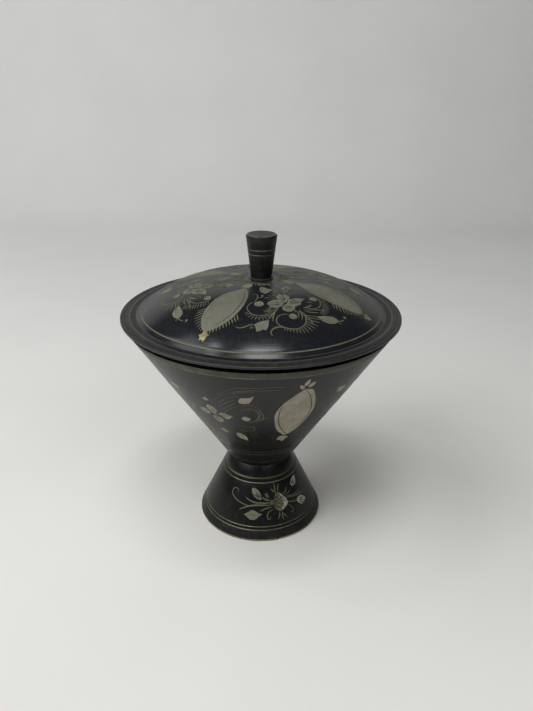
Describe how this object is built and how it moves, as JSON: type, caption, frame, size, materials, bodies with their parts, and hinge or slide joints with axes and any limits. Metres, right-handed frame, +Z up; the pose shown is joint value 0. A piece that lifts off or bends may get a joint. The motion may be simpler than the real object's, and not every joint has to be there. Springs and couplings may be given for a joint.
{
  "type": "lidded pedestal bowl",
  "caption": "Conical bowl bolted to a hollow conical foot, with a domed lift-off lid and tapered knob, in black-lacquered turned brass.",
  "frame": {"origin": "centre of the foot's rim, on the surface that the bowl stands on", "axes": "+Z up along the axis of the bowl, foot, lid and knob; -Y towards the viewer"},
  "size_m": [0.18, 0.18, 0.2038],
  "materials": {
    "black_lacquer": "satin black lacquer baked on turned brass, worn at the edges",
    "bare_brass": "turned brass, dulled",
    "worn_brass": "brass showing through worn lacquer",
    "engraved_sheet": "pale scraped metal, satin, slightly tarnished",
    "engraved_line": "cut brass line"
  },
  "bodies": {
    "base": {"foot": "black_lacquer", "bowl": "black_lacquer", "joining_stud": "bare_brass", "foot_washer": "bare_brass", "foot_nut": "bare_brass"},
    "lid_assembly": {"lid": "black_lacquer", "lid_locating_ring": "bare_brass", "knob_collar": "worn_brass", "knob": "black_lacquer", "knob_washer": "bare_brass", "knob_screw": "bare_brass"}
  },
  "joints": [
    {"name": "lid_lift", "type": "slide", "parent": "base", "child": "lid_assembly", "axis": [0, 0, 1], "range_m": [0, 0.08]}
  ]
}
